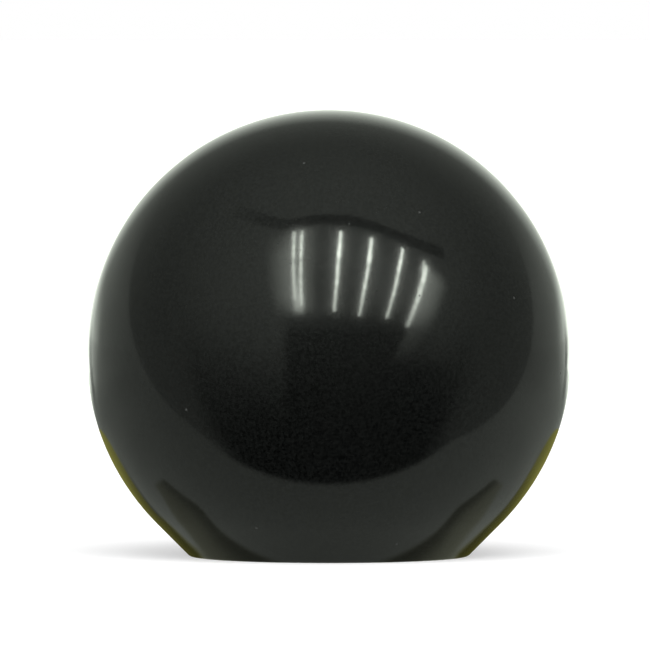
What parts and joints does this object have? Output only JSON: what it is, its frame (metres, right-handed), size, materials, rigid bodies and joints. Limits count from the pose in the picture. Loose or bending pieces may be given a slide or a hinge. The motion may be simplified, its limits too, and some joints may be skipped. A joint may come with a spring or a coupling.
{
  "type": "ball knob",
  "caption": "Polished black ball knob with a flat underside and a moulded-in threaded brass insert, for the end of a control or clamping lever.",
  "frame": {"origin": "centre of the flat face that the knob seats and stands on, in the plane of that face", "axes": "+Z along the knob's axis from the flat face up to the ball's pole; the thread opens along -Z; X and Y are any two square directions, because the outside is round"},
  "size_m": [0.05, 0.05, 0.046],
  "materials": {
    "black_thermoset": "polished",
    "brass": "satin"
  },
  "bodies": {
    "root": {"ball_body": "black_thermoset", "threaded_insert": "brass"}
  },
  "joints": []
}
